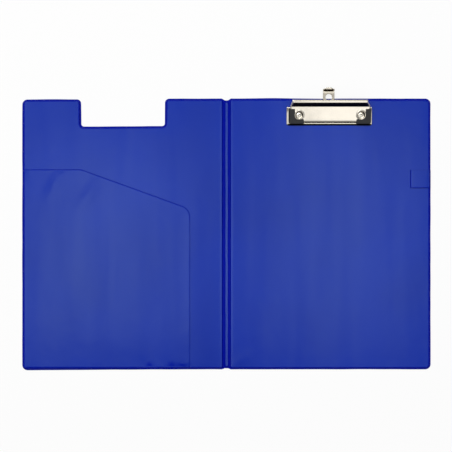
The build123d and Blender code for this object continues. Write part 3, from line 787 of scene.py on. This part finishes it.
def makeLever():
    v = lever
    line = leverLine()
    lengths = lengthsAlong(line)
    end = lengths[-1]
    atDrop = lambda drop: min(((abs(d - drop), s) for (d, z), s in zip(line, lengths) if z > v["lipFoot"] + 1))[1]
    waist, narrow = atDrop(9.6), atDrop(7.2)
    footLength = next(s for (d, z), s in zip(line, lengths) if d < v["rivetDrop"])
    footDrop = next(d for (d, z) in line if d < v["rivetDrop"])
    rivetLength = footLength - (v["rivetDrop"] - footDrop) / math.cos(math.radians(clip["slope"]))
    half, tip, aside = v["half"], v["tipHalf"], v["tipShift"]
    corners = [(-half, 0, 0.8), (half, 0, 0.8), (half, waist, 2.0), (tip + aside, narrow, 2.0),
               (tip + aside, end, 1.5), (aside - tip, end, 1.5), (aside - tip, narrow, 2.0), (-half, waist, 2.0)]

    def share(s):
        return min(1.0, max(0.0, (s - waist) / (narrow - waist)))

    def halfAt(s):
        return half + (tip - half) * share(s)

    def middleAt(s):
        return aside * share(s)

    def lift(x, s):
        # edges rolled over, raised rings round the holes, and the slight waves of pressed sheet
        rolled = rolledEdge(v["edge"], halfAt(s) - abs(x - middleAt(s)))
        away = math.hypot(abs(x) - v["rivetX"], s - rivetLength)
        ring = v["ringRise"] * (1 - smoothStep(v["ring"] - 0.7, v["ring"], away))
        ring *= smoothStep(v["hole"] - 0.5, v["hole"] + 0.35, away)
        waves = 0.05 * wave(x, s, 17, 31) + 0.12 * wave(x, s, 40, 32)
        return rolled + ring + waves * smoothStep(0, 3, s) * (1 - smoothStep(waist - 8, waist - 1, s))

    rings = [v["hole"] + out for out in (0, 0.12, 0.3)]
    rings += [v["ring"] + out for out in (-0.75, -0.55, -0.38, -0.2, 0, 0.3)]
    holes = [(side * v["rivetX"], rivetLength, rings) for side in (-1, 1)]
    loop = roundedLoop(corners, 1.6)
    return sheetOnLine("lever_plate", line, loop, holes, halfAt, lift, clip["sheet"], platedSteel, 2.2,
                       middleAt=middleAt)


def makeFlanges():
    # upright sides of the lever, with a round eye on the pin
    v = lever
    drop = v["lipDrop"]
    outline = [(drop - 0.6, plateHeight(drop) - 1.2), (drop - 0.6, plateHeight(drop) - 0.5),
               (clip["pinDrop"], plateHeight(clip["pinDrop"]) - 0.5), (9.4, plateHeight(9.6) - 0.4)]
    outline += roundEar(2.2, 180, 270)
    prisms = [prism(outline[::-1], x, x + 0.8) for x in (-v["half"] + 0.05, v["half"] - 0.85)]
    return addPrisms("lever_flanges", prisms, platedSteel, 0.15)


def makePin():
    # a plain pin through the tray's ears and the lever's flanges, with flat ends
    left, right = clip["shift"] - clip["halfWidth"] + 0.4, clip["shift"] + clip["halfWidth"] - 0.8
    profile = [(0, left), (0.7, left), (0.9, left + 0.2), (0.9, right - 0.2), (0.7, right), (0, right)]
    middle = folder["top"] - clip["pinDrop"]
    points, faces = turned(profile, 28, lambda a, b, x: (clipX + x, middle + a, clip["pinHeight"] + b))
    return addObject("hinge_pin", points, faces, platedSteel)


pin = makePin()
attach(pin, "clipboard")
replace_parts(pin, "pivot_pin")
leverPlate = makeLever()
flanges = makeFlanges()
for piece in (leverPlate, flanges):
    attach(piece, "jaw")
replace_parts(leverPlate, "jaw_plate")
print("lever made")


# Grips: L-shaped rubber caps on the plate's front corners

grip = {
    "outer": 47.6, "arm": 6.5, "frontArm": 17.0, "front": 30.3, "back": 13.2, "frontWidth": 5.5,
    "rise": 1.25, "under": 0.9, "round": 0.8, "insets": (0.0, 0.06, 0.16, 0.32, 0.55, 0.8, 1.3),
}


def makeGrip(name, side):
    g = grip
    top = folder["top"]
    outer, front, back = g["outer"], g["front"], g["back"]
    arm, toe, foot = outer - g["arm"], outer - g["frontArm"], front - g["frontWidth"]
    edges = [(outer, front, 2.4), (outer, back, 0.7), (arm, back, 0.7), (arm, foot, 2.6), (toe, foot, 0.7),
             (toe, front, 0.7)]
    corners = [(clipX + side * x, top - drop, r) for x, drop, r in (edges if side > 0 else edges[::-1])]
    loop = roundedLoop(corners, 1.2)
    plan = [point + inward * inset for inset in g["insets"] for point, inward in loop]
    plan, triangles, origins = triangulate(plan, loopOf(len(loop)))
    above, below = [], []
    for q, origin in zip(plan, origins):
        inset = g["insets"][origin[0] // len(loop)] if origin else 0.5
        height = plateHeight(top - q.y)
        above.append((q.x, q.y, height + g["rise"] + rolledEdge(g["round"], inset)))
        below.append((q.x, q.y, height - g["under"]))
    piece = closedShell(name, above, below, triangles, gripRubber)
    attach(piece, "jaw")
    return piece


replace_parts(makeGrip("grip_left", -1), "grip_corner_left")
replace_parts(makeGrip("grip_right", 1), "grip_corner_right")
print("grips made")


# Hanging tab: a strip with a stop head in the channel, a hole, a step and a finger tongue

hanger = {
    "half": 6.7, "shift": -1.25, "headHalf": 8.4, "headTop": 12.8, "headEnd": 15.8, "sheet": 0.8,
    "height": folder["face"] + 0.55, "beadFoot": -6.0, "beadTop": -7.5, "beadRise": 0.18,
    "stepFoot": -9.1, "stepDip": -0.2, "stepTop": -10.35, "stepRise": 2.6,
    "reach": -12.8, "tongueLift": 0.12, "tongueHalf": 5.4, "hole": 3.85, "holeDrop": -1.15,
    "bends": (1.0, 0.6, 0.3, 0.4),
}


def makeHanger():
    h = hanger
    rises = [(h["headEnd"], 0), (h["beadFoot"], 0), (h["beadTop"], h["beadRise"]), (h["stepFoot"], h["stepDip"]),
             (h["stepTop"], h["stepRise"]), (h["reach"] + 0.4, h["stepRise"] + h["tongueLift"])]
    line = bentLine([(drop, h["height"] + rise) for drop, rise in rises], h["bends"])
    lengths = lengthsAlong(line)
    end = lengths[-1]
    neck = h["headEnd"] - h["headTop"]
    crest = end - 2.3
    half, wide, tongue = h["half"], h["headHalf"], h["tongueHalf"]
    right = [(wide, 0, 0.4), (wide, neck, 0.4), (half, neck, 0.3), (half, crest, 0.5), (tongue, crest + 0.15, 0.1),
             (tongue * 0.84, crest + 1.3, 0.9), (1.8, end, 1.6)]
    outline = [(-wide, 0, 0.4)] + right + [(-x, s, r) for x, s, r in reversed(right[1:])]

    def halfAt(s):
        return wide if s < neck else half if s < crest else tongue * 0.8

    def lift(x, s):
        inset = min(halfAt(s) - abs(x), end - s + 0.2) if s > neck + 1 else 1
        rolled = rolledEdge(0.25 if s < crest else 0.15, inset)
        nearStep = smoothStep(crest - 5, crest - 2, s) * (1 - smoothStep(crest - 1, crest, s))
        dished = -0.10 * max(0.0, 1 - (x / half) ** 2) * nearStep
        return rolled + dished + 0.03 * wave(x, s, 9, 41)

    hole = (0, h["headEnd"] - h["holeDrop"], (h["hole"], h["hole"] + 0.2, h["hole"] + 0.6))
    loop = roundedLoop(outline, 1.2)
    return sheetOnLine("hanger_strip", line, loop, [hole], halfAt, lift, h["sheet"], hangerSteel, 1.1, h["shift"])


hangerStrip = makeHanger()
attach(hangerStrip, "hanger")
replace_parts(hangerStrip, "hanger_tab")
print("hanging tab made")


# Rivets: domed heads over a shank and a flat tail

rivet = {
    "headRadius": 3.9, "headHeight": 3.9, "crown": 1.0, "tailRadius": 3.4, "shankRadius": 2.0, "sides": 48,
    "fromEnd": 3.5,                   # from each end of the solids' box to a rivet's middle
}


def makeRivets():
    low, high = boxMm("clip_rivets")
    r = rivet
    head, tail, shank = r["headRadius"], r["tailRadius"], r["shankRadius"]
    foot, base = low[2], clip["floor"]
    top = base + r["headHeight"]
    profile = [(0, foot), (tail - 0.3, foot), (tail, foot + 0.2), (tail, foot + 0.5), (shank, foot + 0.5),
               (shank, base), (head - 0.15, base), (head, base + 0.2), (head, top - r["crown"] - 0.2)]
    # a smooth dome, steeper towards its edge
    crown = [1.0, 0.97, 0.93, 0.88, 0.82, 0.75, 0.67, 0.58, 0.48, 0.37, 0.25, 0.12]
    profile += [(head * 0.98 * t, top - r["crown"] * t ** 2.5) for t in crown] + [(0, top)]
    y = (low[1] + high[1]) / 2
    parts = [turned(profile, r["sides"], lambda a, b, z: (x + a, y + b, z))
             for x in (low[0] + r["fromEnd"], high[0] - r["fromEnd"])]
    return addObject("rivet_heads", *joinParts(parts), rivetNickel)


rivets = makeRivets()
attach(rivets, "clipboard")
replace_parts(rivets, "clip_rivets")
print("rivets made")


# Film skins: inner and outer, each in two halves that meet along the middle of the spine

plan, insets, constraints = skinPoints()
plan, triangles, origins = triangulate(plan, constraints)
insets = [insets[o[0]] if o else 5.0 for o in origins]
film = folder["film"]
inside = [insideHeight(p.x, p.y, i) for p, i in zip(plan, insets)]
insideUnder = [h - film for h in inside]
outside = [outsideHeight(p.x, i) for p, i in zip(plan, insets)]
outsideUpper = [film] * len(plan)
weld = [weldAmount(p.x, i) for p, i in zip(plan, insets)]
print("film plan:", len(plan), "points,", len(triangles), "triangles")

for side, outerBody, name in ((1, "clipboard", "board"), (-1, "cover", "cover")):
    half = [t for t in triangles if (sum(plan[i].x for i in t) > 0) == (side > 0)]
    upper = closedSheet(f"{name}_inner_film", plan, half, inside, insideUnder, vinyl, weld=weld)
    lower = closedSheet(f"{name}_outer_film", plan, half, outsideUpper, outside, vinyl, weld=weld)
    for piece, slot in ((upper, "vinyl_inside"), (lower, "vinyl_outside")):
        if side > 0:
            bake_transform(piece)
        else:
            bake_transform(piece)
    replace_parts(upper, f"{name}_front_film", "spine_front_film")
    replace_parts(lower, f"{name}_back_film", "spine_back_film")
    # the grey board inside, up to where the film has climbed over its edge
    within = [t for t in half if min(insets[i] for i in t) >= folder["wallEnd"]
              and min(abs(plan[i].x) for i in t) > spine["plateau"] + 0.4]
    level = [folder["face"] - film] * len(plan)
    board = closedSheet(f"{name}_stiffener", plan, within, level, outsideUpper, greyboard)
    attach(board, outerBody)
    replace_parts(board, f"{name}_core")
print("film skins made")


# Document pocket: one film, free along its top, slanted and spine edges

pocket = {
    "left": pocketLow[0], "right": pocketHigh[0], "bottom": pocketLow[1], "top": pocketHigh[1],
    "shoulder": 69.3, "rightHeight": 188.0, "corner": 14.0,
    # puffs of the loose film: x, y, lean, width, length, height; darker spots along the bottom welded rim: x, run
    "puffs": ((-200.0, 53.0, 0.35, 6.5, 15.0, 0.9), (-161.0, 39.0, 0.5, 7.5, 15.0, 0.95)),
    "pressed": ((-90.0, 3.5), (-64.0, 4.5), (-52.0, 5.0)),
    "insets": (0.0, 0.1, 0.3, 0.6, 0.8, 1.0, 1.3, 1.55, 1.8, 2.05, 2.3, 2.8, 3.6, 4.4, 5.2, 6.0),
    "stand": 0.34, "turn": 0.19,      # how far the cut edge stands up, and its last millimetres turn down
    "edgeLineAndShade": (0.75, 0.35),        # darker line and painted shadow at the cut edge: along the top and slant, along the spine
}


def pocketSlant(x):
    p = pocket
    fall = (p["top"] - p["bottom"] - p["rightHeight"]) / (p["right"] - p["left"] - p["shoulder"])
    return p["top"] - (x - p["left"] - p["shoulder"]) * fall, 1 / math.hypot(1, fall)


def pocketFree(x, y):
    # distance from the pocket's free edges: the top, the slanted edge, the round corner and the spine side
    p = pocket
    slant, lean = pocketSlant(x)
    distance = min(p["right"] - x, p["top"] - y, (slant - y) * lean)
    centreX = p["right"] - p["corner"]
    slant, lean = pocketSlant(centreX)
    centreY = slant - p["corner"] / lean
    if x > centreX and y > centreY:
        rounded = p["corner"] - math.hypot(x - centreX, y - centreY)
        return min(distance, rounded)
    return distance


def pocketLift(x, y):
    # how far the pocket stands off the cover: tight at its welds, looser towards its free edges
    p = pocket
    fromWeld = smoothStep(-8, 45, x - p["left"]) * smoothStep(-8, 45, y - p["bottom"])
    loose = 0.5 + 0.5 * wave(x, y, 60, 21)
    puff = 0.0
    for cx, cy, lean, width, length, height in p["puffs"]:
        puff += height * math.exp(-(((x - cx - lean * (y - cy)) / width) ** 2 + ((y - cy) / length) ** 2))
    free = max(0.0, pocketFree(x, y))
    away = smoothStep(2.0, 9.0, x - p["left"]) * smoothStep(2.0, 9.0, y - p["bottom"])
    stand = p["stand"] * math.exp(-free / 9) * away
    turn = p["turn"] * (1 - smoothStep(-0.4, 1.7, free)) * away
    return 0.03 + fromWeld * (0.12 + 0.35 * loose) + puff * smoothStep(0, 6, free) + stand - turn


def makePocket():
    p = pocket
    corners = [
        (p["left"], p["bottom"], folder["cornerRadius"]),
        (p["right"], p["bottom"], 0.4),
        (p["right"], p["bottom"] + p["rightHeight"], p["corner"]),
        (p["left"] + p["shoulder"], p["top"], 1.4),
        (p["left"], p["top"], 4.0),
    ]
    loop = roundedLoop(corners, folder["step"])
    plan = []
    for inset in p["insets"]:
        for point, inward in loop:
            ragged = 0.12 * (1 + wave(point.x, point.y, 31, 14)) * (1 - smoothStep(0, 2.3, inset))
            plan.append(point + inward * (inset + ragged))
    for x, y in loosePoints((p["left"], p["bottom"], p["right"], p["top"]), folder["grid"], folder["sway"]):
        if min(x - p["left"], y - p["bottom"], pocketFree(x, y)) > 7.6:
            plan.append(Vector((x, y)))
    plan, triangles, _ = triangulate(plan, loopOf(len(loop)))
    upper, lower, weld = [], [], []
    for q in plan:
        inset = max(0.0, edgeDistance(q.x, q.y))
        under = insideHeight(q.x, q.y, inset) + pocketLift(q.x, q.y)
        free = max(0.0, pocketFree(q.x, q.y))
        lower.append(under)
        upper.append(under + film)
        spineSide = p["right"] - q.x < 2 and q.y < p["bottom"] + p["rightHeight"] - p["corner"]
        # the cut edge's darker line, with painted shadow beneath it
        edge = p["edgeLineAndShade"][spineSide]
        aside = ((q.y - p["bottom"] - 5.4) / 1.2) ** 2
        spots = sum(math.exp(-((q.x - cx) / run) ** 2 - aside) for cx, run in p["pressed"])
        rim = weldAmount(p["left"], inset)
        weld.append(max(rim, edge * (1 - smoothStep(0.5, 1.2, free)), 0.7 * min(1.0, spots)))
    return closedSheet("pocket_film", plan, triangles, upper, lower, vinyl, weld=weld)


pocketFilm = makePocket()
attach(pocketFilm, "cover")
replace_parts(pocketFilm, "document_pocket")
print("pocket made")


# Pen loop: a strip folded back on itself, lying on the board, with both ends welded over the rim

penStrip = {
    "wider": 1.1, "gap": 0.12, "thickness": 0.35,     # wider to the left than the solid, as photographed
    # rows across the strip, as shares of its width, close together at its cut edges
    "stations": (0, 0.012, 0.03, 0.055, 0.09, 0.2, 0.32, 0.44, 0.56, 0.68, 0.8, 0.91, 0.945, 0.97, 0.988, 1),
}


def makePenLoop():
    left, bottom, top = loopLow[0] - penStrip["wider"], loopLow[1], loopHigh[1]
    right = folder["right"]
    face = folder["face"] + penStrip["gap"]
    stations, thickness = penStrip["stations"], penStrip["thickness"]
    rim = 2 * folder["film"]
    # the strip's middle line in X and Z, from the rim, under, round the fold and back over the top
    under = [(right - 0.1, rim + 0.2), (right - 1.2, rim + 0.25), (right - 1.7, rim + 0.7),
             (right - 2.2, face + 0.12), (right - 3.2, face + 0.2), (right - 4.4, face + 0.2),
             (right - 7, face + 0.2), (left + 3, face + 0.2), (left + 1.4, face + 0.22)]
    fold = [(left + 0.4, face + 0.30), (left + 0.18, face + 0.55), (left + 0.45, face + 0.84)]
    over = [(left + 1.4, face + 0.95), (left + 3, face + 0.98), (right - 7, face + 0.98),
            (right - 4.4, face + 0.97), (right - 3.4, face + 0.93), (right - 2.0, face + 0.62),
            (right - 1.5, rim + 1.15), (right - 1.1, rim + 0.66), (right - 0.1, rim + 0.58)]
    line = under + fold + over
    points, faces = [], []
    for share in stations:
        y = bottom + (top - bottom) * share
        for side in (1, -1):
            for i, (x, z) in enumerate(line):
                before = Vector(line[max(0, i - 1)])
                after = Vector(line[min(len(line) - 1, i + 1)])
                way = (after - before).normalized()
                normal = Vector((-way.y, way.x)) * side
                points.append((x + normal.x * thickness / 2, y, z + normal.y * thickness / 2))
    count = len(line)
    order = [*range(count), *reversed(range(count, 2 * count))]
    rings = range(0, len(points), 2 * count)
    for j, n in zip(rings, rings[1:]):
        faces += [(j + a, j + b, n + b, n + a) for a, b in zip(order, order[1:] + order[:1])]
    for i in range(count - 1):
        quads = [(j + i, j + i + 1, j + count + i + 1, j + count + i) for j in (rings[0], rings[-1])]
        faces += [quads[0], quads[1][::-1]]
    piece = addObject("pen_loop_film", points, faces, vinyl)
    # painted shadow along the bottom cut edge and beside the fold, and a darker welded end
    values = []
    for x, y, z in points:
        cut = 1 - smoothStep(0.1, 1.0, min(y - bottom, 1.2))
        values.append(max(cut, 1 - smoothStep(0.3, 1.3, x - left), smoothStep(right - 2.4, right - 1.2, x)))
    markPoints(piece, "weld", values)
    return piece


penLoop = makePenLoop()
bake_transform(penLoop)
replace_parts(penLoop, "pen_loop", "pen_loop_tail")
print("pen loop made")


# Floor, light and camera

stage = {
    "cameraHeight": 1.085, "cameraX": -0.00048, "cameraY": folder["bottom"] * mm + 0.1678, "field": 0.5284,
    "floorSize": 30.0, "floorDrop": 0.0003,
}


def shadePaper(tree):
    # white where the camera or a reflection sees it, and softly lit where it lights the folder
    lit = addNode(tree, "BsdfDiffuse", {"Color": linearColour("#f3f3f3")})
    seen = addNode(tree, "Emission", {"Color": linearColour("#ffffff"), "Strength": 1.0})
    path = addNode(tree, "LightPath")
    cameraOrGlossy = addNode(tree, "Math", {"operation": "MAXIMUM"},
                             {0: path.outputs["Is Camera Ray"], 1: path.outputs["Is Glossy Ray"]})
    share = addNode(tree, "Math", {"operation": "MULTIPLY", 1: 0.85}, {0: cameraOrGlossy})
    return addNode(tree, "MixShader", {}, {0: share, 1: lit, 2: seen})


def makeFloor():
    half, drop = stage["floorSize"] / mm / 2, -stage["floorDrop"] / mm
    corners = [(-half, -half, drop), (half, -half, drop), (half, half, drop), (-half, half, drop)]
    paper = makeMaterial("paleStudioPaper", shadePaper)
    floor = addObject("floor", corners, [(0, 1, 2, 3)], paper, smooth=False)


softboxes = {
    # place, point aimed at, size, power: a high box beyond the top, a weak one beyond the bottom, two overhead for
    # the film's sheen, and a card for the top of the lever
    "topBox": ((-0.5, 1.5, 2.0), (0, 0, 0), (2.6, 0.9), 38),
    "bottomBox": ((0.1, -2.0, 1.4), (0, 0, 0), (2.0, 1.0), 1.0),
    "overheadLeft": ((-0.35, -0.05, 1.35), (-0.35, -0.05, 0), (0.50, 0.58), 1.24),
    "overheadRight": ((0.31, -0.035, 1.35), (0.31, -0.035, 0), (0.40, 0.61), 1.0),
    "leverCard": ((0.27, 0.365, 1.35), (0.27, 0.365, 0), (0.26, 0.13), 0.095),
}


def addSoftbox(name, place, target, size, power):
    light = bpy.data.lights.new(name, "AREA")
    light.shape = "RECTANGLE"
    light.size, light.size_y = size
    light.energy = power
    lamp = bpy.data.objects.new(name, light)
    lamp.location = place
    lamp.rotation_mode = "QUATERNION"
    lamp.rotation_quaternion = (Vector(target) - Vector(place)).to_track_quat("-Z", "Y")
    scene.collection.objects.link(lamp)


def makeWorld():
    # a studio with pale walls, a dark ceiling over the camera and a dark band near the horizon
    world = bpy.data.worlds.new("paleWalls")
    scene.world = world
    world.use_nodes = True
    tree = world.node_tree
    tree.nodes.clear()
    place = addNode(tree, "TexCoord")
    parts = addNode(tree, "SeparateXYZ", {}, {0: place})
    shades = addNode(tree, "ValToRGB", {}, {0: parts.outputs["Z"]})
    bands = ((0.30, 0.02), (0.50, 0.45), (0.62, 0.88), (0.82, 0.88), (0.90, 0.07), (1.0, 0.06))
    for extra in bands[2:]:
        shades.color_ramp.elements.new(extra[0])
    for element, (height, level) in zip(shades.color_ramp.elements, bands):
        element.position = height
        element.color = (level, level, level, 1)
    back = addNode(tree, "Background", {"Strength": 1.0}, {"Color": shades})
    addNode(tree, "OutputWorld", {}, {"Surface": back})


makeFloor()
makeWorld()
for name, settings in softboxes.items():
    addSoftbox(name, *settings)
print("light made")

camera = bpy.data.cameras.new("camera")
camera.sensor_width = 36
camera.lens = 36 * (stage["cameraHeight"] - folder["face"] * mm) / stage["field"]
camera.clip_start = 0.05
eye = bpy.data.objects.new("camera", camera)
eye.location = (stage["cameraX"], stage["cameraY"], stage["cameraHeight"])
scene.collection.objects.link(eye)
scene.camera = eye
scene.view_settings.view_transform = "Standard"
